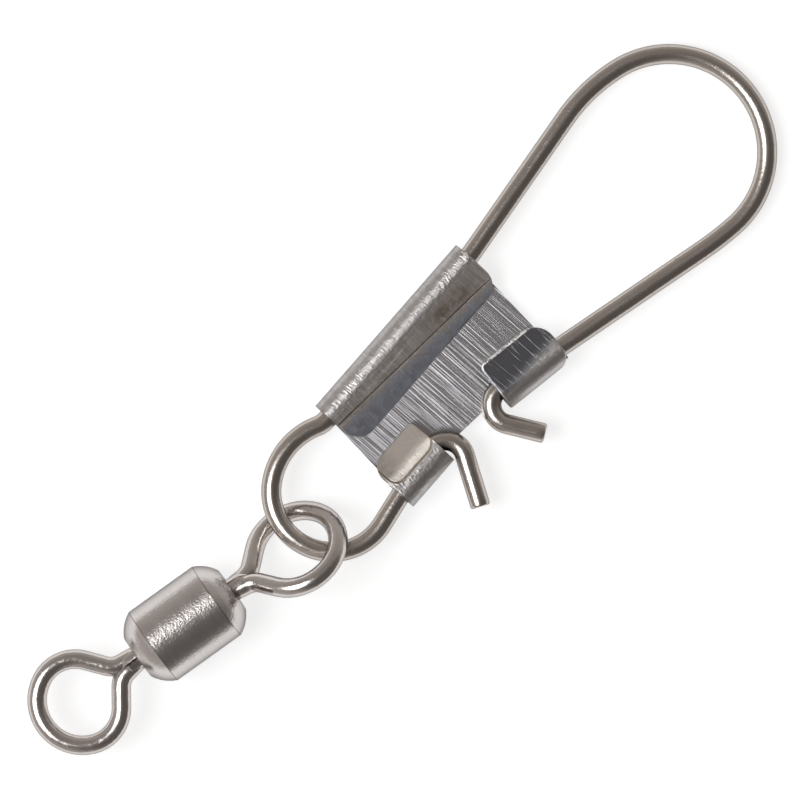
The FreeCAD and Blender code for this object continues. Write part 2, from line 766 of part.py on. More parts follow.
def flap_section(body, name, where, wrap, facet):
    """At one end of the tube: the rest of the wrap, a facet down to the crease, and the flap."""
    sketch = new_sketch(body, name, "YZ_Plane", out=where)
    bore = tube_bore()
    outside = bore + size("sheet")
    heading = 180 + amount("tube_round_angle")
    outwards = heading_vector(heading - 90)
    centre = vector(0, outside.value)
    outer = Bender(sketch, centre + outwards * outside.value, heading)
    inner = Bender(sketch, centre + outwards * bore.value, heading)
    slope = math.radians(amount("tube_flap_slope"))
    flap = (amount("tube_flap_reach") + crease_end(wrap, facet).x) / math.cos(slope)
    root = bend_strip(sketch, outer, inner, [
        (bore, wrap - size("tube_round_angle"), 1),
        (facet,),
        (size("tube_crease_radius"), wrap - size("tube_flap_slope"), -1),
        (as_size(flap),),
    ])
    for arc in (outer.first[0], inner.first[0]):
        place(sketch, arc, 3, as_size(0), outside)
    rule(sketch, "PointOnObject", outer.first[0], 3, root)
    rule(sketch, "Angle", root, to=size("tube_round_angle") + 90)
    return sketch


def rolled_tube(body):
    half = size("tube_length") / 2
    sketch = new_sketch(body, "tube_section", "YZ_Plane", out=-half)
    fold_section(sketch, size("fold_overlap"), [(tube_bore(), size("tube_round_angle") + 180, 1)])
    pad(body, "tube", sketch, size("tube_length"))
    low = flap_section(body, "flap_low_section", -half, size("tube_low_wrap"), size("tube_low_facet"))
    high = flap_section(body, "flap_high_section", half, size("tube_high_wrap"), high_facet())
    loft(body, "flap", low, high)
    reach = size("tube_flap_reach")
    trim_corner(body, "flap_high_corner", half, -reach, size("tube_flap_high_corner"), -90)
    trim_corner(body, "flap_low_corner", -half, -reach, size("tube_flap_low_corner"), 180)
    height = flap_height(size("tube_low_wrap"), size("tube_low_facet"))
    round_free_edge(body, "flap_edge", FreeCAD.Vector(0, -reach.value, height))


def free_edge(bends):
    """How far a fold's flap runs back over the plate from the fold's axis, and its outer height."""
    outside = []
    for step in bends:
        bent_inwards = len(step) == 3 and step[2] > 0
        outside.append((step[0] + size("sheet"),) + step[1:] if bent_inwards else step)
    end = follow(outside, vector(0, 0), 0)[-1][0]
    return -end.x, end.y


def round_free_edge(body, name, where):
    """Rounds the outer edge of a flap, from its free edge on round the corners and up both sides."""
    spot = Part.Vertex(where)
    edges = body.Shape.Edges
    nearest = min(range(len(edges)), key=lambda number: edges[number].distToShape(spot)[0])
    folded = body.Tip
    rounding = body.newObject("PartDesign::Fillet", name)
    rounding.Base = (folded, [f"Edge{nearest + 1}"])
    rounding.setExpression("Radius", "Sizes.sheet_edge_rounding")
    doc.recompute()


def plate_edge(x):
    """The flat plate's edge between the tabs, at that place along the tube."""
    skew = math.radians(amount("plate_skew"))
    return -amount("plate_width") / math.cos(skew) - x * math.tan(skew)


def strip_length(x, y, skew, ends):
    """From a tab's fold back into the plate: longer where the fold lies out beyond the plate's edge."""
    beyond = [0]
    for along in ends:
        spot_x, spot_y = tab_spot(x, y, along, 0, skew)
        beyond.append(plate_edge(spot_x.value) - spot_y.value)
    return size("fold_overlap") + max(beyond)


def tab_spot(x, y, along, inwards, skew):
    """A point of a tab in the plate's frame, from its place along the fold and inwards from it."""
    turn = math.radians(skew)
    east = x + along * math.cos(turn) + inwards * math.sin(turn)
    north = y - along * math.sin(turn) + inwards * math.cos(turn)
    return as_size(east), as_size(north)


def folded_tab(body, name, x, y, skew, low_half, high_half, bends, corners):
    """A tab folded up and back over the plate. corners are (along, inwards, radius alias, turn)."""
    cos_skew = math.cos(math.radians(skew.value))
    sin_skew = math.sin(math.radians(skew.value))
    # The section stands at the high end of the fold and is drawn out towards the low end.
    start_x = x + high_half * cos_skew
    start_y = y - high_half * sin_skew
    sketch = new_sketch(body, f"{name}_section", "YZ_Plane", across=start_y, out=start_x,
                        turn=as_size(180) - skew, axis=(0, 1, 0))
    strip = strip_length(x.value, y.value, skew.value, (-low_half.value, high_half.value))
    fold_section(sketch, strip, bends)
    pad(body, name, sketch, low_half + high_half)
    for number, (along, inwards, alias, turn) in enumerate(corners, start=1):
        spot_x, spot_y = tab_spot(x.value, y.value, along, inwards, skew.value)
        trim_corner(body, f"{name}_corner_{number}", spot_x, spot_y, size(alias), as_size(turn) - skew)
    reach, height = free_edge(bends)
    spot_x, spot_y = tab_spot(x.value, y.value, 0, reach, skew.value)
    round_free_edge(body, f"{name}_edge", FreeCAD.Vector(spot_x.value, spot_y.value, height))


def open_tab(body):
    """The upper tab: an open J that the latch arm's hook catches on. It's folded beside that hook."""
    hook_start, heading = latch_stop(ARM_END)
    back = heading_vector(heading + 180) * amount("open_tab_along")
    aside = heading_vector(heading + 90) * amount("open_tab_aside")
    middle = hook_start + back + aside
    skew = 180 - heading % 360 - amount("open_tab_twist")
    bore = size("wire_diameter") / 2 + size("tab_clearance")
    low = size("open_tab_low_half")
    high = size("open_tab_high_half")
    flap = size("open_tab_flap")
    outer = (bore + size("sheet")).value
    bends = [(bore, as_size(180), 1), (flap,)]
    corners = [
        (high.value, flap.value, "open_tab_high_corner", 0),
        (-low.value, flap.value, "open_tab_low_corner", 90),
        (high.value, -outer, "open_tab_fold_corner", -90),
    ]
    folded_tab(body, "open_tab", as_size(middle.x), as_size(middle.y), as_size(skew),
               low, high, bends, corners)


def shut_tab(body):
    """The lower tab: folded over and pressed down, so that the small loop can't come out."""
    bore = size("wire_diameter") / 2 + size("tab_clearance")
    half = size("shut_tab_half")
    bends = [
        (bore, as_size(180), 1),
        (size("shut_tab_flat"),),
        (size("shut_tab_crease_radius"), size("shut_tab_slope"), 1),
        (size("shut_tab_slope_length"),),
    ]
    reach, height = free_edge(bends)
    corners = [
        (half.value, reach, "shut_tab_high_corner", 0),
        (-half.value, reach, "shut_tab_low_corner", 90),
    ]
    folded_tab(body, "shut_tab", -size("shut_tab_x"), -size("shut_tab_y"), as_size(0),
               half, half, bends, corners)


def make_lock_plate():
    body = new_body("lock_plate")
    plate_outline(body)
    rolled_tube(body)
    shut_tab(body)
    open_tab(body)
    return body


# How the pieces lie together.

def turned(axis, degrees):
    return FreeCAD.Placement(FreeCAD.Vector(0, 0, 0), FreeCAD.Rotation(FreeCAD.Vector(*axis), degrees))


def moved(x, y, z):
    return FreeCAD.Placement(FreeCAD.Vector(x, y, z), FreeCAD.Rotation())


def swivel_places():
    """Places of the line eye, the barrel and the link eye. Each leans in the hole that holds its neck."""
    wall = amount("barrel_end_wall") / 2
    to_hole = moved(amount("eye_reach") + wall, 0, 0)
    through_barrel = moved(amount("barrel_length") / 2 - wall, 0, 0)
    line_place = turned((0, 0, 1), amount("line_eye_yaw"))
    barrel_place = line_place * to_hole * turned((0, 0, 1), -amount("barrel_lean")) * through_barrel
    lean = turned((0, 0, 1), -amount("link_eye_lean"))
    about_face = turned((0, 0, 1), 180) * turned((1, 0, 0), amount("link_eye_roll"))
    link_place = barrel_place * through_barrel * lean * to_hole * about_face
    return line_place, barrel_place, link_place


def snap_place():
    """Place of the snap's frame: tilted down from the link eye until the nose rests on the surface."""
    flat = moved(amount("snap_x"), amount("snap_y"), 0) * turned((0, 0, 1), amount("snap_yaw"))
    nose_start, nose_heading = latch_stop(SHOULDER_END)
    nose_centre = nose_start + heading_vector(nose_heading - 90) * amount("nose_radius")
    tip_x = flat.multVec(nose_centre).x + amount("nose_radius")
    fall = (amount("barrel_diameter") - amount("wire_diameter")) / 2 - amount("link_drop")
    tilt = math.asin(fall / (tip_x - amount("link_x")))
    tilted = turned((0, 1, 0), math.degrees(tilt))
    height = -amount("link_drop") - (amount("snap_x") - amount("link_x")) * math.sin(tilt)
    spot = moved(amount("snap_x"), amount("snap_y"), height)
    return spot * tilted * turned((0, 0, 1), amount("snap_yaw"))


def report_joint(name, place, point, direction):
    where = place.multVec(point)
    along = place.Rotation.multVec(direction)
    print(f"{name}: at ({where.x:.4f}, {where.y:.4f}, {where.z:.4f})"
          f" along ({along.x:.6f}, {along.y:.6f}, {along.z:.6f})")


def build():
    line_place, barrel_place, link_place = swivel_places()
    snap = snap_place()
    line_eye = make_eye("line_eye")
    line_eye.Placement = line_place
    link_eye = make_eye("link_eye")
    link_eye.Placement = link_place
    barrel = make_barrel()
    barrel.Placement = barrel_place
    snap_wire = make_snap_wire()
    snap_wire.Placement = snap
    arm_start, arm_heading = latch_start()
    latch_frame = snap * FreeCAD.Placement(arm_start, FreeCAD.Rotation(arm_heading, 0, 0))
    latch_arm = make_latch_arm()
    latch_arm.Placement = latch_frame
    lock_plate = make_lock_plate()
    under = amount("sheet") + amount("wire_lift") + amount("wire_diameter") / 2
    lock_plate.Placement = snap * moved(0, 0, -under)
    doc.recompute()
    x_axis = FreeCAD.Vector(1, 0, 0)
    z_axis = FreeCAD.Vector(0, 0, 1)
    middle = FreeCAD.Vector(0, 0, 0)
    inner_edge = FreeCAD.Vector(-amount("flex_gap") / 2, -amount("wire_diameter") / 2, 0)
    report_joint("line eye axis", line_place, middle, x_axis)
    report_joint("barrel axis", barrel_place, middle, x_axis)
    report_joint("link axis", link_place, middle, z_axis)
    report_joint("latch axis", latch_frame, inner_edge, z_axis)
    return [line_eye, barrel, link_eye, lock_plate, snap_wire, latch_arm]


def check_document():
    for item in doc.Objects:
        if "Invalid" in item.State or "Error" in item.State:
            raise RuntimeError(f"{item.Label} failed: {item.State}")


def write(pieces):
    os.makedirs("parts", exist_ok=True)
    for piece in pieces:
        shape = piece.Shape
        if shape.isNull() or not shape.isValid() or len(shape.Solids) != 1:
            raise RuntimeError(f"{piece.Label} isn't one valid solid")
        box = shape.BoundBox
        print(f"{piece.Label}: {shape.Volume:.3f} mm3, x {box.XMin:.2f} to {box.XMax:.2f},"
              f" y {box.YMin:.2f} to {box.YMax:.2f}, z {box.ZMin:.2f} to {box.ZMax:.2f}")
        shape.exportStep(f"parts/{piece.Label}.step")


pieces = build()
check_document()
write(pieces)
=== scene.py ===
# %% [markdown]
# # A fishing snap swivel
#
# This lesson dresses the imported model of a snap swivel: a barrel swivel with two wire eyes, a spring
# wire snap, and the folded lock plate that keeps the snap shut. All of it is bare metal. So the work
# lies in two things: what the metal mirrors, and the fine marks that drawing, rolling and tumbling
# leave on it.
#
# Its parts are named nodes that ride on moving bodies.

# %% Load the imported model
import math

import bpy
from mathutils import Matrix, Vector


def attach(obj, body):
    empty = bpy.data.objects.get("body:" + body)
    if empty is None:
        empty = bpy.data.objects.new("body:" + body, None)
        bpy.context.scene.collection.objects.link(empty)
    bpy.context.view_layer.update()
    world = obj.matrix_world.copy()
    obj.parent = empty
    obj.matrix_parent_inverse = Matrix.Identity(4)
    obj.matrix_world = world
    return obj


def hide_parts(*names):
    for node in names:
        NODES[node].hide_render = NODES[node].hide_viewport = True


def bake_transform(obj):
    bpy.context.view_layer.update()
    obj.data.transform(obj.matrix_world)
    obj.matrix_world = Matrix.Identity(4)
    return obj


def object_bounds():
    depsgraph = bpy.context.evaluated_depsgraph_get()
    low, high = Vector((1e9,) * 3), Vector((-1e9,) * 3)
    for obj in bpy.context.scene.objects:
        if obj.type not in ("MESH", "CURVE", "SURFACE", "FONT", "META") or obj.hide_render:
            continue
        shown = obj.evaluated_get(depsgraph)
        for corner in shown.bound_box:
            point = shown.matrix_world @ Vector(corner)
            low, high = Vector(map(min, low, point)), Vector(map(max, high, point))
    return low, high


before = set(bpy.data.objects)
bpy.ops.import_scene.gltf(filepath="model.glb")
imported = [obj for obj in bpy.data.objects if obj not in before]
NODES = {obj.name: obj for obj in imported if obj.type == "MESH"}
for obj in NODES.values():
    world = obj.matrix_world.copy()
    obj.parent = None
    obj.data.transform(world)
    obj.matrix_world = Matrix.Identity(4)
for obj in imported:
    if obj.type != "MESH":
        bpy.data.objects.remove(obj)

CAD_BOX = [list(corner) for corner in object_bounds()]
MM = 0.001
print("nodes:", ", ".join(sorted(NODES)))

# %% [markdown]
# ## The camera
#
# The photograph looks straight down at the object, which lies on a diagonal from the lower left to
# the upper right. A long lens far above keeps the wires from tapering. The picture is square, and its
# width on the table follows from the overall length of the real thing.

# %% Camera
DIAGONAL = 43.6
PICTURE_WIDTH = 39.6 * MM
PICTURE_CENTRE = Vector((21.95 * MM, -0.12 * MM, 0.0))
CAMERA_HEIGHT = 400 * MM
SENSOR_WIDTH = 36.0


def add_camera():
    data = bpy.data.cameras.new("overhead_camera")
    data.sensor_width = SENSOR_WIDTH
    data.lens = SENSOR_WIDTH * CAMERA_HEIGHT / PICTURE_WIDTH
    data.clip_start = 0.01
    data.clip_end = 10.0
    camera = bpy.data.objects.new("overhead_camera", data)
    camera.location = PICTURE_CENTRE + Vector((0, 0, CAMERA_HEIGHT))
    camera.rotation_euler = (0, 0, -math.radians(DIAGONAL))
    bpy.context.scene.collection.objects.link(camera)
    bpy.context.scene.camera = camera
    return camera


camera = add_camera()
bpy.context.scene.view_settings.view_transform = "Standard"
print("lens:", round(camera.data.lens), "mm")

# %% [markdown]
# ## Helpers for node trees
#
# Every material below is a small tree of shader nodes. These helpers keep the code short: they add a
# node, link two nodes, do one sum, and turn a range of values into a smooth ramp.

# %% Node helpers


def add_node(tree, kind, inputs=None, **settings):
    node = tree.nodes.new(kind)
    for name, value in settings.items():
        setattr(node, name, value)
    for name, value in (inputs or {}).items():
        node.inputs[name].default_value = value
    return node


def connect(tree, source, entry):
    """source is a number or an output socket, entry an input socket."""
    if isinstance(source, bpy.types.NodeSocket):
        tree.links.new(source, entry)
    else:
        entry.default_value = source


def sum_up(tree, operation, first, second=0.0, clamp=False):
    node = add_node(tree, "ShaderNodeMath", operation=operation, use_clamp=clamp)
    connect(tree, first, node.inputs[0])
    connect(tree, second, node.inputs[1])
    return node.outputs[0]


def product(tree, first, *others):
    for other in others:
        first = sum_up(tree, "MULTIPLY", first, other)
    return first


def vector_sum(tree, operation, first, second=(0.0, 0.0, 0.0)):
    node = add_node(tree, "ShaderNodeVectorMath", operation=operation)
    connect(tree, first, node.inputs[0])
    connect(tree, second, node.inputs[1])
    return node.outputs["Value" if operation in ("DOT_PRODUCT", "LENGTH") else "Vector"]


def ramp(tree, value, low, high, to_low=0.0, to_high=1.0):
    """A smooth ramp from to_low at low to to_high at high."""
    limits = {"From Min": low, "From Max": high, "To Min": to_low, "To Max": to_high}
    node = add_node(tree, "ShaderNodeMapRange", limits, interpolation_type="SMOOTHSTEP")
    connect(tree, value, node.inputs["Value"])
    return node.outputs["Result"]


def within(tree, value, low, high, soft=0.04):
    """1 where value lies between low and high."""
    above = ramp(tree, value, low - soft, low + soft)
    below = ramp(tree, value, high - soft, high + soft, 1.0, 0.0)
    return product(tree, above, below)


def mix(tree, kind, amount, first, second):
    """kind is RGBA for colours and FLOAT for plain values."""
    node = add_node(tree, "ShaderNodeMix", data_type=kind)
    entries = [entry for entry in node.inputs if entry.enabled]
    for source, entry in zip((amount, first, second), entries):
        connect(tree, source, entry)
    return next(result for result in node.outputs if result.enabled)


print("node helpers are ready")

# %% [markdown]
# ## The room
#
# Bare metal looks like whatever it mirrors, so the room is made first. The photograph shows dim,
# brownish surroundings, lighter low down and towards the top of the picture, and dark at the lower
# right. A picture of a room could be wrapped round the object, but it would need a file. So each of
# those is a soft patch on the world, painted by the direction of the ray. A ray from the camera that
# misses everything sees plain white.

# %% World
CEILING = (0.27, 0.245, 0.23, 1.0)
WALLS = (0.46, 0.425, 0.405, 1.0)
DARK_CORNER = (0.125, 0.115, 0.11, 1.0)
WHITE = (1.0, 1.0, 1.0, 1.0)
CEILING_REACH = (30, 85)
CORNER_HEADING = -30
CORNER_FROM_OVERHEAD = 50
CORNER_REACH = (22, 62)


def towards(heading, from_overhead):
    """The unit vector to something seen at that heading in the picture and that far off overhead."""
    turn = math.radians(heading - DIAGONAL)
    lean = math.radians(from_overhead)
    return Vector((math.sin(lean) * math.cos(turn), math.sin(lean) * math.sin(turn), math.cos(lean)))


def patch(tree, ray, direction, reach):
    """1 near that direction, falling to 0 between the two angles of reach."""
    inner, outer = reach
    closeness = vector_sum(tree, "DOT_PRODUCT", ray, direction)
    return ramp(tree, closeness, math.cos(math.radians(outer)), math.cos(math.radians(inner)))


def add_world():
    world = bpy.data.worlds.new("room")
    bpy.context.scene.world = world
    world.use_nodes = True
    tree = world.node_tree
    tree.nodes.clear()
    ray = add_node(tree, "ShaderNodeTexCoord").outputs["Generated"]
    ceiling = patch(tree, ray, towards(0, 0), CEILING_REACH)
    corner = patch(tree, ray, towards(CORNER_HEADING, CORNER_FROM_OVERHEAD), CORNER_REACH)
    colour = mix(tree, "RGBA", ceiling, WALLS, CEILING)
    colour = mix(tree, "RGBA", corner, colour, DARK_CORNER)
    path = add_node(tree, "ShaderNodeLightPath")
    colour = mix(tree, "RGBA", path.outputs["Is Camera Ray"], colour, WHITE)
    background = add_node(tree, "ShaderNodeBackground")
    connect(tree, colour, background.inputs["Color"])
    output = add_node(tree, "ShaderNodeOutputWorld")
    connect(tree, background.outputs["Background"], output.inputs["Surface"])
    return world


print("world:", add_world().name)

# %% [markdown]
# ## The softbox
#
# One big softbox hangs up on the left. A real one is brightest in the middle, because its lamp sits
# behind the cloth there, and that fading edge is what gives the wires their soft highlight. So it is
# a glowing disc whose strength falls off from its centre, and the camera can't see it.

# %% Softbox
SOFTBOX_HEADING = 192
SOFTBOX_FROM_OVERHEAD = 31
SOFTBOX_DISTANCE = 0.5
SOFTBOX_RADIUS = 0.24
SOFTBOX_CORE = 0.05
SOFTBOX_STRENGTH = 7.5
SOFTBOX_SIDES = 48


def add_softbox():
    steps = [2 * math.pi * step / SOFTBOX_SIDES for step in range(SOFTBOX_SIDES)]
    rim = [(SOFTBOX_RADIUS * math.cos(turn), SOFTBOX_RADIUS * math.sin(turn), 0.0) for turn in steps]
    mesh = bpy.data.meshes.new("softbox")
    mesh.from_pydata(rim, [], [tuple(range(SOFTBOX_SIDES))])
    softbox = bpy.data.objects.new("softbox", mesh)
    direction = towards(SOFTBOX_HEADING, SOFTBOX_FROM_OVERHEAD)
    softbox.location = PICTURE_CENTRE + direction * SOFTBOX_DISTANCE
    softbox.rotation_euler = direction.to_track_quat("Z", "Y").to_euler()
    softbox.visible_camera = False
    bpy.context.scene.collection.objects.link(softbox)
    material = bpy.data.materials.new("softbox_cloth")
    material.use_nodes = True
    tree = material.node_tree
    tree.nodes.clear()
    place = add_node(tree, "ShaderNodeTexCoord").outputs["Object"]
    distance = vector_sum(tree, "LENGTH", place)
    strength = ramp(tree, distance, SOFTBOX_CORE, SOFTBOX_RADIUS, SOFTBOX_STRENGTH, 0.0)
    glow = add_node(tree, "ShaderNodeEmission", {"Color": WHITE})
    connect(tree, strength, glow.inputs["Strength"])
    output = add_node(tree, "ShaderNodeOutputMaterial")
    connect(tree, glow.outputs[0], output.inputs["Surface"])
    mesh.materials.append(material)
    return softbox


print("softbox height:", round(add_softbox().location.z, 3), "m")

# %% [markdown]
# ## The table
#
# A pale board just under the object. It takes the object's shadow like any matt board, and for rays
# from the camera and from the metal some white is added, so that it reads as the plain white of the
# photograph without more light falling on the metal.

# %% Table
TABLE_HALF = 0.06
TABLE_COLOUR = (0.38, 0.38, 0.38, 1.0)
TABLE_GLOW = 0.76


def background_rays(tree):
    """1 for the rays that should see the plain background: from the camera, and mirrored or bent."""
    path = add_node(tree, "ShaderNodeLightPath")
    either = sum_up(tree, "MAXIMUM", path.outputs["Is Camera Ray"], path.outputs["Is Glossy Ray"])
    return sum_up(tree, "MAXIMUM", either, path.outputs["Is Transmission Ray"])


def add_table():
    low = CAD_BOX[0][2]
    middle = PICTURE_CENTRE
    mesh = bpy.data.meshes.new("table")
    corners = [(middle.x + TABLE_HALF * right, middle.y + TABLE_HALF * up, low)
               for right, up in ((-1, -1), (1, -1), (1, 1), (-1, 1))]
    mesh.from_pydata(corners, [], [(0, 1, 2, 3)])
    table = bpy.data.objects.new("table", mesh)
    bpy.context.scene.collection.objects.link(table)
    material = bpy.data.materials.new("white_table")
    material.use_nodes = True
    tree = material.node_tree
    tree.nodes.clear()
    matt = add_node(tree, "ShaderNodeBsdfDiffuse", {"Color": TABLE_COLOUR})
    glow = add_node(tree, "ShaderNodeEmission", {"Color": WHITE})
    strength = sum_up(tree, "MULTIPLY", background_rays(tree), TABLE_GLOW)
    connect(tree, strength, glow.inputs["Strength"])
    both = add_node(tree, "ShaderNodeAddShader")
    connect(tree, matt.outputs[0], both.inputs[0])
    connect(tree, glow.outputs[0], both.inputs[1])
    output = add_node(tree, "ShaderNodeOutputMaterial")
    connect(tree, both.outputs[0], output.inputs["Surface"])
    mesh.materials.append(material)
    return table


print("table at", round(add_table().data.vertices[0].co.z / MM, 3), "mm")

# %% [markdown]
# ## Marks on metal, as node groups
#
# Three kinds of mark turn up on several pieces, so each is a node group. All of them take a place in
# millimetres on the piece. `brushing` gives fine parallel lines that lie square to X. `grain` gives
# the sandy speckle that tumbling in grit leaves. `scratches` gives a few long thin lines.

# %% Mark groups
BROAD_SPACING = 0.27
BROAD_SHARE = 0.4
STREAK_EDGES = (0.38, 0.62)
SPOT_EDGES = (0.5, 0.66)
SCRATCH_STEEPNESS = 20.0


def new_group(name, numbers, outputs):
    """A group with a Place input, inputs for those numbers, and number outputs."""
    group = bpy.data.node_groups.new(name, "ShaderNodeTree")
    group.interface.new_socket("Place", in_out="INPUT", socket_type="NodeSocketVector")
    for label, value in numbers.items():
        entry = group.interface.new_socket(label, in_out="INPUT", socket_type="NodeSocketFloat")
        entry.default_value = value
    for label in outputs:
        group.interface.new_socket(label, in_out="OUTPUT", socket_type="NodeSocketFloat")
    return group, add_node(group, "NodeGroupInput").outputs, add_node(group, "NodeGroupOutput").inputs


def stretched_noise(tree, place, across, along, detail):
    """Noise with that many features to the millimetre along X, and along the other two axes."""
    factors = add_node(tree, "ShaderNodeCombineXYZ")
    for source, axis in ((across, "X"), (along, "Y"), (along, "Z")):
        connect(tree, source, factors.inputs[axis])
    spot = vector_sum(tree, "MULTIPLY", place, factors.outputs["Vector"])
    node = add_node(tree, "ShaderNodeTexNoise", {"Scale": 1.0, "Detail": detail})
    connect(tree, spot, node.inputs["Vector"])
    return node.outputs["Fac"]


def make_brushing():
    numbers = {"Lines per mm": 10.0, "Breaks per mm": 0.5}
    group, start, end = new_group("brushing", numbers, ["Height", "Streaks"])
    lines, breaks = start["Lines per mm"], start["Breaks per mm"]
    fine = stretched_noise(group, start["Place"], lines, breaks, 3.0)
    broad = stretched_noise(group, start["Place"], product(group, lines, BROAD_SPACING), breaks, 1.0)
    height = mix(group, "FLOAT", BROAD_SHARE, fine, broad)
    connect(group, height, end["Height"])
    connect(group, ramp(group, height, *STREAK_EDGES), end["Streaks"])
    return group


def make_grain():
    group, start, end = new_group("grain", {"Grains per mm": 12.0}, ["Height", "Spots"])
    grains = start["Grains per mm"]
    height = stretched_noise(group, start["Place"], grains, grains, 2.0)
    connect(group, height, end["Height"])
    connect(group, ramp(group, height, *SPOT_EDGES), end["Spots"])
    return group


def make_scratches():
    numbers = {"Lines per mm": 6.0, "Breaks per mm": 0.35, "Threshold": 0.66}
    group, start, end = new_group("scratches", numbers, ["Lines"])
    lines = stretched_noise(group, start["Place"], start["Lines per mm"], start["Breaks per mm"], 1.0)
    above = sum_up(group, "SUBTRACT", lines, start["Threshold"])
    steep = sum_up(group, "MULTIPLY", above, SCRATCH_STEEPNESS, clamp=True)
    connect(group, steep, end["Lines"])
    return group


BRUSHING = make_brushing()
GRAIN = make_grain()
SCRATCHES = make_scratches()
print("groups:", ", ".join(group.name for group in (BRUSHING, GRAIN, SCRATCHES)))

# %% [markdown]
# ## Where the marks lie
#
# The marks follow the piece, not the picture, so every material first turns the place on the mesh
# into the piece's own millimetres: X along the barrel or along the lock plate's tube, Z up. The lock
# plate lies tilted by two degrees, because the nose of the big loop rests on the table.

# %% Frames of the pieces


def lay_out(centre, turn, tilt=0.0):
    """A piece's own frame: its centre in millimetres, turned on the table, then tilted off it."""
    turned = Matrix.Rotation(math.radians(turn), 4, "Z")
    tilted = Matrix.Rotation(math.radians(tilt), 4, "Y")
    return Matrix.Translation(Vector(centre) * MM) @ tilted @ turned


SNAP_FRAME = lay_out((24.06, 2.19, -0.751), 5.3, 2.267)
BARREL_FRAME = lay_out((6.6126, -0.7855, 0.0), -7.95)
EYE_FRAME = lay_out((0.0, 0.0, 0.0), -6.0)
print("the snap's frame is at", [round(value / MM, 2) for value in SNAP_FRAME.to_translation()], "mm")


def own_place(tree, piece_frame):
    """The place on the mesh in the piece's own frame, in millimetres."""
    mapping = add_node(tree, "ShaderNodeMapping", vector_type="TEXTURE")
    mapping.inputs["Location"].default_value = piece_frame.to_translation()
    mapping.inputs["Rotation"].default_value = piece_frame.to_euler()
    mapping.inputs["Scale"].default_value = (MM, MM, MM)
    connect(tree, add_node(tree, "ShaderNodeTexCoord").outputs["Object"], mapping.inputs["Vector"])
    return mapping.outputs["Vector"]


# %% [markdown]
# ## The start of a metal
#
# Bare metal is a Principled shader with Metallic at 1. Its Base Color is then the tint of what it
# mirrors face on, and Specular Tint darkens the mirror image at the very edge, which draws the thin
# dark outline of the photograph. The marks come in through Bump nodes, each with its own depth.

# %% Metal helpers
EDGE_TINT = (0.3, 0.3, 0.3, 1.0)
ANY_ROUGHNESS = 0.2


def use_group(tree, group, place, numbers):
    node = add_node(tree, "ShaderNodeGroup", node_tree=group)
    connect(tree, place, node.inputs["Place"])
    for name, value in numbers.items():
        connect(tree, value, node.inputs[name])
    return node.outputs


def dent(tree, height, depth, normal=None):
    """Marks that stand up where height is high. depth is how far, in millimetres."""
    node = add_node(tree, "ShaderNodeBump", {"Strength": 1.0, "Distance": depth * MM})
    connect(tree, height, node.inputs["Height"])
    if normal is not None:
        connect(tree, normal, node.inputs["Normal"])
    return node.outputs["Normal"]


def new_metal(name, colour):
    """A bare metal. Each material links a roughness of its own over ANY_ROUGHNESS."""
    material = bpy.data.materials.new(name)
    material.use_nodes = True
    tree = material.node_tree
    shader = tree.nodes["Principled BSDF"]
    shader.inputs["Metallic"].default_value = 1.0
    shader.inputs["Base Color"].default_value = colour
    shader.inputs["Roughness"].default_value = ANY_ROUGHNESS
    shader.inputs["Specular Tint"].default_value = EDGE_TINT
    return material, tree, shader


def dress(node, material):
    for entry in NODES[node].material_slots:
        entry.material = material
    print("dressed", node, "with", material.name)


print("at its very edge a metal mirrors", EDGE_TINT[0], "of the room")

# %% [markdown]
# ## The barrel
#
# A short drawn tube whose ends are swaged in over the heads of the eyes. Swaging runs round it, so
# its lines are rings, square to the axis, and tumbling has left a sandy speckle on top of them. The
# rings smear the softbox along the axis into the broad glittering band of the photograph.

# %% Barrel nickel
BARREL_COLOUR = (0.67, 0.635, 0.62, 1.0)
BARREL_SHOULDER_SHADE = (0.34, 0.31, 0.29, 1.0)
BARREL_SHOULDER = 1.92
SHOULDER_SHADE_HALF = 0.02
BARREL_RINGS = {"Lines per mm": 8.0, "Breaks per mm": 0.9}
BARREL_GRAIN = {"Grains per mm": 9.5}
RING_DEPTH = 0.005
BARREL_GRAIN_DEPTH = 0.0125
BARREL_ROUGHNESS = (0.2, 0.27)


def make_barrel_nickel():
    material, tree, shader = new_metal("barrel_nickel", BARREL_COLOUR)
    place = own_place(tree, BARREL_FRAME)
    rings = use_group(tree, BRUSHING, place, BARREL_RINGS)
    grain = use_group(tree, GRAIN, place, BARREL_GRAIN)
    normal = dent(tree, rings["Height"], RING_DEPTH)
    normal = dent(tree, grain["Height"], BARREL_GRAIN_DEPTH, normal)
    connect(tree, normal, shader.inputs["Normal"])
    roughness = ramp(tree, rings["Streaks"], 0.0, 1.0, *BARREL_ROUGHNESS)
    connect(tree, roughness, shader.inputs["Roughness"])
    # A thin dark ring is painted round each shoulder: painted shade at the corner of the tube and its
    # swaged end.
    axes = add_node(tree, "ShaderNodeSeparateXYZ")
    connect(tree, place, axes.inputs["Vector"])
    from_middle = sum_up(tree, "ABSOLUTE", axes.outputs["X"])
    past_shoulder = sum_up(tree, "SUBTRACT", from_middle, BARREL_SHOULDER)
    shoulder_shade = within(tree, past_shoulder, -SHOULDER_SHADE_HALF, SHOULDER_SHADE_HALF, 0.03)
    colour = mix(tree, "RGBA", shoulder_shade, BARREL_COLOUR, BARREL_SHOULDER_SHADE)
    connect(tree, colour, shader.inputs["Base Color"])
    return material


dress("barrel", make_barrel_nickel())

# %% [markdown]
# ## The eyes
#
# Smooth, bright drawn wire, tumbled but not brushed. Only a faint waviness and a few rubbed spots
# break the reflections, so that the rings don't look cast from glass.

# %% Eye wire
EYE_COLOUR = (0.65, 0.61, 0.585, 1.0)
EYE_WAVES = {"Grains per mm": 1.6}
EYE_GRAIN = {"Grains per mm": 14.0}
EYE_WAVE_DEPTH = 0.02
EYE_GRAIN_DEPTH = 0.002
EYE_ROUGHNESS = (0.16, 0.26)


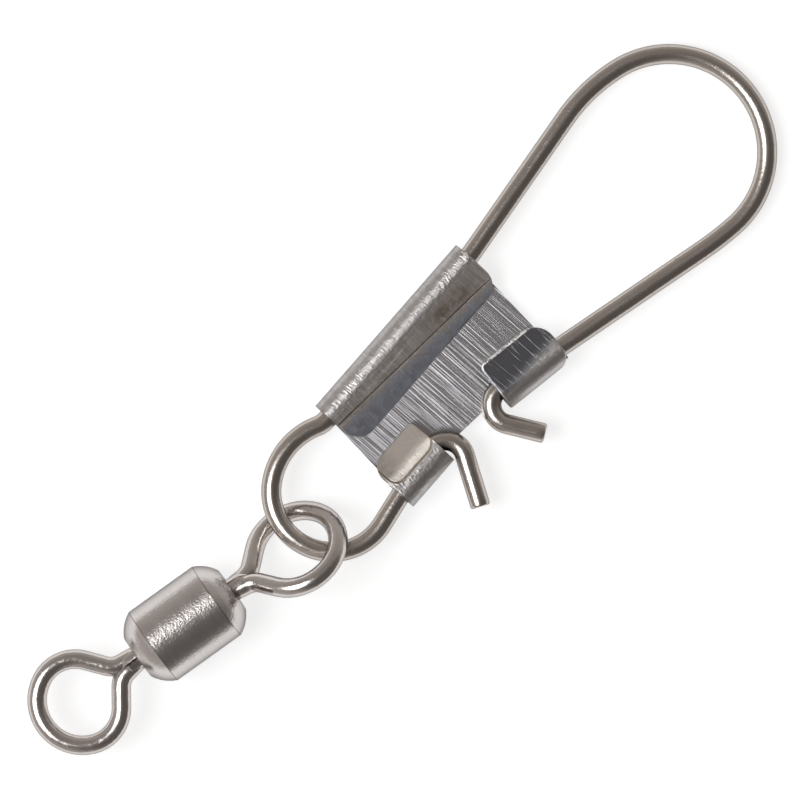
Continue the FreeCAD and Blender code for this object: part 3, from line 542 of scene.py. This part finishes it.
def make_eye_wire():
    material, tree, shader = new_metal("eye_wire", EYE_COLOUR)
    place = own_place(tree, EYE_FRAME)
    waves = use_group(tree, GRAIN, place, EYE_WAVES)
    grain = use_group(tree, GRAIN, place, EYE_GRAIN)
    normal = dent(tree, waves["Height"], EYE_WAVE_DEPTH)
    normal = dent(tree, grain["Height"], EYE_GRAIN_DEPTH, normal)
    connect(tree, normal, shader.inputs["Normal"])
    roughness = ramp(tree, grain["Spots"], 0.0, 1.0, *EYE_ROUGHNESS)
    connect(tree, roughness, shader.inputs["Roughness"])
    return material


eye_wire = make_eye_wire()
dress("line_eye", eye_wire)
dress("link_eye", eye_wire)

# %% [markdown]
# ## The path of the snap's wire
#
# In the model the spring wire is two pieces with a hairline between them, because a real spring
# bends all along and a joint turns in one place. Here the wire is drawn again as one length. A wire
# bender works from a table of feeds and bends, and so does this path. A bend is a radius, an angle
# and a side: 1 to the left and -1 to the right. Both paths start in the middle of the tube.

# %% Wire tables
SMALL_SIDE = [(5.44,), (1.2, 27.7, -1), (3.57, 58.6, 1), (3.0, 125.9, 1), (2.88, 32.4, 1), (4.33,),
              (1.0, 131.0, -1), (2.7,)]
LEG = [(5.35,), (2.0, 6.3, 1), (8.1,), (8.95, 23.05, -1)]
NOSE_AND_ARM = [(4.87, 171.0, -1), (17.0, 6.9, -1), (12.1,), (1.0, 132.0, 1), (1.96,)]
LONGEST_FEED = 0.6
SHARPEST_TURN = 2.0


def pointing(degrees):
    return Vector((math.cos(math.radians(degrees)), math.sin(math.radians(degrees)), 0.0))


def trace(table, start):
    """Stops along the wire, each with its point, its heading in degrees and the length so far."""
    stops = [start]
    for step in table:
        point, heading, length = stops[-1]
        if len(step) == 1:
            count = math.ceil(step[0] / LONGEST_FEED)
            for part in range(1, count + 1):
                feed = step[0] * part / count
                stops.append((point + pointing(heading) * feed, heading, length + feed))
        else:
            radius, angle, side = step
            count = math.ceil(angle / SHARPEST_TURN)
            centre = point + pointing(heading + 90 * side) * radius
            for part in range(1, count + 1):
                turned = angle * part / count
                ahead = heading + side * turned
                place = centre + pointing(ahead - 90 * side) * radius
                stops.append((place, ahead, length + radius * math.radians(turned)))
    return stops


small_stops = trace(SMALL_SIDE, (Vector((0, 0, 0)), 180.0, 0.0))
leg_stops = trace(LEG, (Vector((0, 0, 0)), 0.0, 0.0))
arm_stops = trace(NOSE_AND_ARM, leg_stops[-1])
print("wire length:", round(small_stops[-1][2] + arm_stops[-1][2], 1), "mm")

# %% [markdown]
# ## Rings round the path
#
# A curve with a round bevel would draw the same wire, but its map couldn't be set in millimetres. So
# at every stop a ring of points goes round the path. Where the wire was cut, the last rings shrink
# into a small rounded edge, as cutting pliers and tumbling leave it.

# %% Wire rings
WIRE_RADIUS = 0.5
RING_STEPS = 28
END_ROUNDING = 0.12
ROUNDING_RINGS = 4


def cut_end(stops):
    """The stops as rings of the wire's radius, with a rounded edge at the cut."""
    point, heading, length = stops[-1]
    rings = [stop + (WIRE_RADIUS,) for stop in stops if stop[2] < length - END_ROUNDING]
    for step in range(ROUNDING_RINGS + 1):
        lean = math.radians(90 * step / ROUNDING_RINGS)
        back = END_ROUNDING * (1 - math.sin(lean))
        radius = WIRE_RADIUS - END_ROUNDING * (1 - math.cos(lean))
        rings.append((point - pointing(heading) * back, heading, length - back, radius))
    return rings


def ring_points(rings):
    """The points of one ring after the other, in metres."""
    points = []
    for point, heading, length, radius in rings:
        left = pointing(heading + 90)
        for step in range(RING_STEPS):
            turn = 2 * math.pi * step / RING_STEPS
            offset = left * math.sin(turn) - Vector((0, 0, math.cos(turn)))
            points.append(tuple(SNAP_FRAME @ ((point + offset * radius) * MM)))
    return points


print("rings on the latch arm:", len(cut_end(arm_stops)))

# %% [markdown]
# ## The wire's skin
#
# Faces join each ring to the next, and a flat cap closes each end. The mesh carries its own map: U
# runs round the wire and V along it, both in millimetres, so that the drawing lines can follow every
# bend. The edges of the caps are marked sharp, or the shading would bulge where two pieces meet.

# %% Wire meshes


def skin(rings):
    """The faces, and the map place of each of their corners."""
    faces, marks = [], []
    step_length = 2 * math.pi * WIRE_RADIUS / RING_STEPS
    for ring in range(len(rings) - 1):
        for step in range(RING_STEPS):
            corners = ((ring, step), (ring, step + 1), (ring + 1, step + 1), (ring + 1, step))
            faces.append([row * RING_STEPS + column % RING_STEPS for row, column in corners])
            marks += [(column * step_length, rings[row][2]) for row, column in corners]
    last = (len(rings) - 1) * RING_STEPS
    faces.append(list(range(RING_STEPS))[::-1])
    faces.append(list(range(last, last + RING_STEPS)))
    marks += [(0.0, 0.0)] * (2 * RING_STEPS)
    return faces, marks


def make_wire(name, rings):
    faces, marks = skin(rings)
    mesh = bpy.data.meshes.new(name)
    mesh.from_pydata(ring_points(rings), [], faces)
    layer = mesh.uv_layers.new(name="millimetres")
    for corner, mark in enumerate(marks):
        layer.data[corner].uv = mark
    for face in mesh.polygons[:-2]:
        face.use_smooth = True
    last = (len(rings) - 1) * RING_STEPS
    for edge in mesh.edges:
        edge.use_edge_sharp = max(edge.vertices) < RING_STEPS or min(edge.vertices) >= last
    piece = bpy.data.objects.new(name, mesh)
    bpy.context.scene.collection.objects.link(piece)
    print(name, "has", len(faces), "faces")
    return piece


fixed_wire = make_wire("fixed_wire", cut_end(small_stops))
leg_wire = make_wire("leg_wire", [stop + (WIRE_RADIUS,) for stop in leg_stops])
latch_wire = make_wire("latch_wire", cut_end(arm_stops))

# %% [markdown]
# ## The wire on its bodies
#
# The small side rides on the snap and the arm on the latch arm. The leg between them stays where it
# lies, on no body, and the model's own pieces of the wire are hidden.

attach(fixed_wire, "snap")
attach(latch_wire, "latch_arm")
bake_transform(leg_wire)
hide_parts("snap_wire")
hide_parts("snap_wire", "latch_arm")
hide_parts("latch_arm")

# %% [markdown]
# ## Spring wire
#
# Pulling wire through a die leaves very fine lines along it. They smear its highlights across the
# wire, which is what softens the edges of the softbox's long reflection. A few nicks and rubbed
# patches come from the bending tools.

# %% Spring wire metal
WIRE_COLOUR = (0.565, 0.522, 0.484, 1.0)
WIRE_LINES = {"Lines per mm": 11.0, "Breaks per mm": 0.25}
WIRE_NICKS = {"Grains per mm": 9.0}
WIRE_WAVES = {"Grains per mm": 0.9}
WIRE_LINE_DEPTH = 0.0035
WIRE_NICK_DEPTH = 0.0016
WIRE_WAVE_DEPTH = 0.02
WIRE_ROUGHNESS = (0.17, 0.25)


def make_spring_wire():
    material, tree, shader = new_metal("spring_wire", WIRE_COLOUR)
    place = add_node(tree, "ShaderNodeTexCoord").outputs["UV"]
    lines = use_group(tree, BRUSHING, place, WIRE_LINES)
    nicks = use_group(tree, GRAIN, place, WIRE_NICKS)
    waves = use_group(tree, GRAIN, place, WIRE_WAVES)
    normal = dent(tree, lines["Height"], WIRE_LINE_DEPTH)
    normal = dent(tree, nicks["Spots"], WIRE_NICK_DEPTH, normal)
    normal = dent(tree, waves["Height"], WIRE_WAVE_DEPTH, normal)
    connect(tree, normal, shader.inputs["Normal"])
    roughness = ramp(tree, lines["Streaks"], 0.0, 1.0, *WIRE_ROUGHNESS)
    connect(tree, roughness, shader.inputs["Roughness"])
    return material


spring_wire = make_spring_wire()
for piece in (fixed_wire, leg_wire, latch_wire):
    piece.data.materials.append(spring_wire)
    print("dressed", piece.name, "with", spring_wire.name)

# %% [markdown]
# ## The zones of the lock plate
#
# The lock plate is one sheet, but each zone of it has been worked differently, and the photograph
# shows that clearly:
#
# - the flat plate keeps the strong lines of the rolling mill, square to the tube,
# - the tube has finer lines, rubbed down by the roller, with a sandy highlight,
# - its flap and the open tab are pressed smooth, so they mirror the room like a dull mirror,
# - the shut tab was struck with a punch, whose edge left a curved line.
#
# Each zone could have a material of its own, but then the borders would have to follow the edges of
# the mesh. A mask is freer: it is 1 in its zone, fades at the border and is 0 beyond. It is made from
# the place on the plate, in its own millimetres: along the tube, across it, and up.

# %% Zones of the lock plate
from types import SimpleNamespace

PLATE_TOP = -0.53
PLATE_DEPTH = 1.0
PLATE_MARGIN = 0.06
CREASE_SLOPE = 0.0854
CREASE_OFFSET = 1.087
FLAP_ACROSS = (-2.3, 0.0)
OPEN_TAB_ACROSS = (-9.0, -3.0)
OPEN_TAB_ALONG = (0.0, 9.0)
TAB_TOP_ACROSS = (-6.4, -5.4)
TAB_TOP_HEIGHT = (0.85, 0.89)


def find_zones(tree, place):
    """The plate's own axes and a mask for each zone."""
    axes = add_node(tree, "ShaderNodeSeparateXYZ")
    connect(tree, place, axes.inputs["Vector"])
    along, across, height = axes.outputs
    flat = within(tree, height, PLATE_TOP - PLATE_DEPTH, PLATE_TOP + PLATE_MARGIN)
    raised = sum_up(tree, "SUBTRACT", 1.0, flat)
    skewed = sum_up(tree, "ADD", across, product(tree, along, CREASE_SLOPE))
    crease = sum_up(tree, "ADD", skewed, CREASE_OFFSET)
    past_crease = ramp(tree, crease, -0.05, 0.02, 1.0, 0.0)
    flap = product(tree, past_crease, within(tree, across, *FLAP_ACROSS), raised)
    open_tab = product(tree, within(tree, across, *OPEN_TAB_ACROSS),
                       within(tree, along, *OPEN_TAB_ALONG))
    tab_top = product(tree, open_tab, ramp(tree, across, *TAB_TOP_ACROSS),
                      ramp(tree, height, *TAB_TOP_HEIGHT))
    pressed = product(tree, sum_up(tree, "MAXIMUM", flap, open_tab), raised)
    return SimpleNamespace(along=along, across=across, height=height, crease=crease, flat=flat,
                           raised=raised, flap=flap, tab_top=tab_top, pressed=pressed)


print("the crease runs", round(math.degrees(math.atan(CREASE_SLOPE)), 1), "degrees off the tube")

# %% [markdown]
# ## The punch mark and the grooves
#
# The punch that closed the shut tab was a small bar with rounded corners, and its edge bit into the
# sheet. The flap's crease is a groove too, and both grooves are painted dark brown, as painted shade.
# Seen from above, the punch mark is a box with rounded corners. The distance of a place from that
# outline gives two masks: the inside of the mark, and the line along its edge.

# %% Punch mark and grooves
PUNCH_CENTRE = (-4.22, -3.7, 0.0)
PUNCH_HALF = (1.42, 1.1)
PUNCH_CORNER = 0.5
PUNCH_FLOOR = (-0.3, -0.2)
GROOVE_HALF = 0.035
GROOVE_SOFT = 0.03
GROOVE_ACROSS = (-5.1, -0.5)


def from_punch(tree, place):
    """How far a place lies outside the punch mark, in millimetres."""
    level = vector_sum(tree, "MULTIPLY", place, (1.0, 1.0, 0.0))
    offset = vector_sum(tree, "ABSOLUTE", vector_sum(tree, "SUBTRACT", level, PUNCH_CENTRE))
    inner = (PUNCH_HALF[0] - PUNCH_CORNER, PUNCH_HALF[1] - PUNCH_CORNER, 0.0)
    beyond = vector_sum(tree, "MAXIMUM", vector_sum(tree, "SUBTRACT", offset, inner))
    return sum_up(tree, "SUBTRACT", vector_sum(tree, "LENGTH", beyond), PUNCH_CORNER)


def add_punch_zones(tree, place, zones):
    """Adds the punched and the smooth zone, what they leave unpressed, and the grooves."""
    punch = from_punch(tree, place)
    zones.punched = product(tree, ramp(tree, punch, 0.0, 0.05, 1.0, 0.0),
                            ramp(tree, zones.height, *PUNCH_FLOOR))
    zones.smooth = sum_up(tree, "MAXIMUM", zones.pressed, zones.punched)
    zones.unpressed = sum_up(tree, "SUBTRACT", 1.0, zones.smooth)
    edges = sum_up(tree, "MAXIMUM",
                   within(tree, zones.crease, -GROOVE_HALF, GROOVE_HALF, GROOVE_SOFT),
                   within(tree, punch, 0.0, 2 * GROOVE_HALF, GROOVE_SOFT))
    zones.groove = product(tree, edges, zones.raised, within(tree, zones.across, *GROOVE_ACROSS))


print("the punch mark is", 2 * PUNCH_HALF[0], "by", 2 * PUNCH_HALF[1], "mm")

# %% [markdown]
# ## Lines, sand and scratches
#
# The groups from above now lie on the sheet several times, each with its own spacing. The long
# streaks come from the rolling mill. The sand is made of short lines, and it breaks the tube's
# highlight into a band of glints. Each mark is kept to its zone by multiplying it with a mask, and
# enters a Bump node of its own, one after the other, from the deepest to the last scratch.

# %% Marks on the sheet
SHEET_MARKS = {
    "streaks": (BRUSHING, {"Lines per mm": 11.0, "Breaks per mm": 0.1}, "Height"),
    "sand": (BRUSHING, {"Lines per mm": 12.0, "Breaks per mm": 3.5}, "Height"),
    "lines": (BRUSHING, {"Lines per mm": 15.0, "Breaks per mm": 0.7}, "Height"),
    "grit": (GRAIN, {"Grains per mm": 9.0}, "Height"),
    "blotches": (GRAIN, {"Grains per mm": 3.0}, "Height"),
    "scratches": (SCRATCHES, {"Lines per mm": 9.0, "Threshold": 0.57}, "Lines"),
}
STREAK_DEPTH = 0.06
SAND_DEPTH = 0.034
GRIT_DEPTH = 0.01
BLOTCH_DEPTH = 0.04
SCRATCH_DEPTH = -0.004
GROOVE_DEPTH = -0.03
STREAKS_ON_TUBE = 0.4
STREAKS_TO_THE_RIGHT = 0.7
SAND_ON_TUBE = 1.6
SAND_ON_SMOOTH = 0.7
SAND_ON_TAB_TOP = 0.1


def place_marks(tree, place):
    marks = SimpleNamespace()
    for name, (group, numbers, output) in SHEET_MARKS.items():
        setattr(marks, name, use_group(tree, group, place, numbers)[output])
    return marks


def dent_sheet(tree, marks, zones):
    rolled = product(tree, mix(tree, "FLOAT", zones.flat, STREAKS_ON_TUBE, 1.0), zones.unpressed,
                     ramp(tree, zones.along, -1.0, 4.5, 1.0, STREAKS_TO_THE_RIGHT))
    sandy = product(tree, zones.raised, SAND_ON_TUBE)
    sandy = mix(tree, "FLOAT", zones.smooth, sandy, SAND_ON_SMOOTH)
    sandy = mix(tree, "FLOAT", zones.tab_top, sandy, SAND_ON_TAB_TOP)
    normal = None
    for mark, zone, depth in ((marks.streaks, rolled, STREAK_DEPTH),
                              (marks.sand, sandy, SAND_DEPTH),
                              (marks.grit, sandy, GRIT_DEPTH),
                              (marks.blotches, zones.flap, BLOTCH_DEPTH),
                              (marks.scratches, zones.pressed, SCRATCH_DEPTH)):
        normal = dent(tree, product(tree, mark, zone), depth, normal)
    return dent(tree, zones.groove, GROOVE_DEPTH, normal)


print("marks on the sheet:", ", ".join(SHEET_MARKS))

# %% [markdown]
# ## The colours of the sheet
#
# The sheet is one metal, but it doesn't mirror with one tint. The far side of the tube and its flap
# are painted brighter, as a painted sheen, the pressed flap is bluish in clouds, the top of the open
# tab is painted dark, as a painted reflection of the dim room, with a painted highlight along its
# rim, and a brown stain has crept out of the crease. The grooves and one end of the punch mark are
# painted darker, as painted shade. Each tint is laid over the ones before it through a mask, like
# coats of paint.

# %% Colours of the sheet
SHEET_COLOUR = (0.58, 0.562, 0.555, 1.0)
ROLLED_COLOUR = (0.6, 0.602, 0.63, 1.0)
TUBE_SHEEN_COLOUR = (0.96, 0.915, 0.885, 1.0)
PRESSED_COLOUR = (0.58, 0.625, 0.72, 1.0)
TAB_TOP_SHADE_COLOUR = (0.25, 0.26, 0.29, 1.0)
PUNCHED_COLOUR = (0.69, 0.65, 0.595, 1.0)
GROOVE_SHADE_COLOUR = (0.42, 0.32, 0.24, 1.0)
RIM_HIGHLIGHT_COLOUR = (0.93, 0.92, 0.9, 1.0)
LINES_AND_SHADE_COLOUR = (0.3, 0.28, 0.27, 1.0)
STAIN_COLOUR = (0.42, 0.34, 0.27, 1.0)
TAB_EDGE_SLOPE = 0.18
TAB_EDGE_OFFSET = 3.67
RIM_STRIP = (-0.14, 0.2, 0.03)
RIM_HEIGHT = (0.5, 0.6)
STAIN_FROM_CREASE = (0.15, 0.8, 0.2)
STAIN_ALONG = (1.6, 4.2, 0.8)
TUBE_SHEEN_ACROSS = (-2.3, -0.25, 0.12)


def find_worn_rim(tree, marks, zones):
    """The narrow strip along the edge of the open tab, painted bright as a painted highlight on its
    rounded edge, broken up where the grit lies low.
    """
    slanted = sum_up(tree, "ADD", zones.across, product(tree, zones.along, TAB_EDGE_SLOPE))
    from_edge = sum_up(tree, "ADD", slanted, TAB_EDGE_OFFSET)
    return product(tree, within(tree, from_edge, *RIM_STRIP),
                   ramp(tree, zones.height, *RIM_HEIGHT), ramp(tree, marks.grit, 0.4, 0.5))


def find_stain(tree, marks, zones):
    """A cloudy patch on the tube, next to the crease."""
    return product(tree, within(tree, zones.crease, *STAIN_FROM_CREASE),
                   within(tree, zones.along, *STAIN_ALONG),
                   ramp(tree, marks.blotches, 0.35, 0.6, 0.2, 0.8), zones.raised)


def colour_punch_mark(tree, marks, zones):
    # The punch mark is painted darker towards its end at -5.5 mm along the tube, in blotches: painted
    # shade on the sloping tab.
    painted_shade = product(tree, ramp(tree, zones.along, -5.5, -4.3, 0.55, 0.0),
                     ramp(tree, marks.blotches, 0.3, 0.65, 1.0, 0.5))
    return mix(tree, "RGBA", painted_shade, PUNCHED_COLOUR, LINES_AND_SHADE_COLOUR)


def colour_sheet(tree, marks, zones):
    # The far side of the tube and its flap are painted brighter: a painted sheen.
    painted_sheen = product(tree, within(tree, zones.across, *TUBE_SHEEN_ACROSS), zones.raised)
    lined = product(tree, ramp(tree, marks.lines, 0.42, 0.6, 0.3, 0.0), zones.unpressed, zones.raised)
    cloudy = sum_up(tree, "ADD", zones.crease, product(tree, marks.blotches, 1.2))
    bluish = product(tree, ramp(tree, cloudy, 0.65, 0.0), zones.flap)
    colour = SHEET_COLOUR
    for mask, coat in ((painted_sheen, TUBE_SHEEN_COLOUR),
                       (lined, LINES_AND_SHADE_COLOUR),
                       (find_stain(tree, marks, zones), STAIN_COLOUR),
                       (bluish, PRESSED_COLOUR),
                       (zones.flat, ROLLED_COLOUR),
                       # The top of the open tab is painted dark: a painted reflection of the dim room
                       # overhead.
                       (zones.tab_top, TAB_TOP_SHADE_COLOUR),
                       (zones.worn_rim, RIM_HIGHLIGHT_COLOUR),
                       (zones.punched, colour_punch_mark(tree, marks, zones)),
                       # The grooves are painted dark brown: painted shade.
                       (zones.groove, GROOVE_SHADE_COLOUR)):
        colour = mix(tree, "RGBA", mask, colour, coat)
    return colour


# The rim is a painted highlight along the open tab's rounded edge.
print("the worn rim runs", round(math.degrees(math.atan(TAB_EDGE_SLOPE)), 1), "degrees off the tube")

# %% [markdown]
# ## The sheet put together
#
# Roughness goes through the same masks. The flat plate is glossy but lined, and its lines smear the
# highlights along the tube. That smear is the shader's Anisotropic value, with a Tangent that is
# fixed to the piece, so that it turns along when the joints move.

# %% Brushed sheet
SMEAR_ON_FLAT = 0.4
FLAT_ROUGHNESS = 0.2
TUBE_ROUGHNESS = 0.39
FLAP_ROUGHNESS = (0.46, 0.34)
TAB_TOP_ROUGHNESS = 0.2
RIM_ROUGHNESS = 0.5


def sheet_roughness(tree, marks, zones):
    roughness = mix(tree, "FLOAT", zones.flat, TUBE_ROUGHNESS, FLAT_ROUGHNESS)
    dull = ramp(tree, marks.blotches, 0.35, 0.65, *FLAP_ROUGHNESS)
    for mask, value in ((zones.flap, dull), (zones.tab_top, TAB_TOP_ROUGHNESS),
                        (zones.worn_rim, RIM_ROUGHNESS)):
        roughness = mix(tree, "FLOAT", mask, roughness, value)
    return roughness


def spread_along(tree, shader, piece_frame, amount):
    """Lines that lie square to the piece's X axis smear its highlights along that axis."""
    carried = add_node(tree, "ShaderNodeVectorTransform", vector_type="VECTOR",
                       convert_from="OBJECT", convert_to="WORLD")
    carried.inputs["Vector"].default_value = piece_frame.to_3x3() @ Vector((1, 0, 0))
    connect(tree, carried.outputs["Vector"], shader.inputs["Tangent"])
    connect(tree, amount, shader.inputs["Anisotropic"])


def make_brushed_sheet():
    material, tree, shader = new_metal("brushed_sheet", SHEET_COLOUR)
    place = own_place(tree, SNAP_FRAME)
    marks = place_marks(tree, place)
    zones = find_zones(tree, place)
    add_punch_zones(tree, place, zones)
    zones.worn_rim = find_worn_rim(tree, marks, zones)
    connect(tree, dent_sheet(tree, marks, zones), shader.inputs["Normal"])
    connect(tree, colour_sheet(tree, marks, zones), shader.inputs["Base Color"])
    connect(tree, sheet_roughness(tree, marks, zones), shader.inputs["Roughness"])
    spread_along(tree, shader, SNAP_FRAME, product(tree, zones.flat, SMEAR_ON_FLAT))
    return material


dress("lock_plate", make_brushed_sheet())
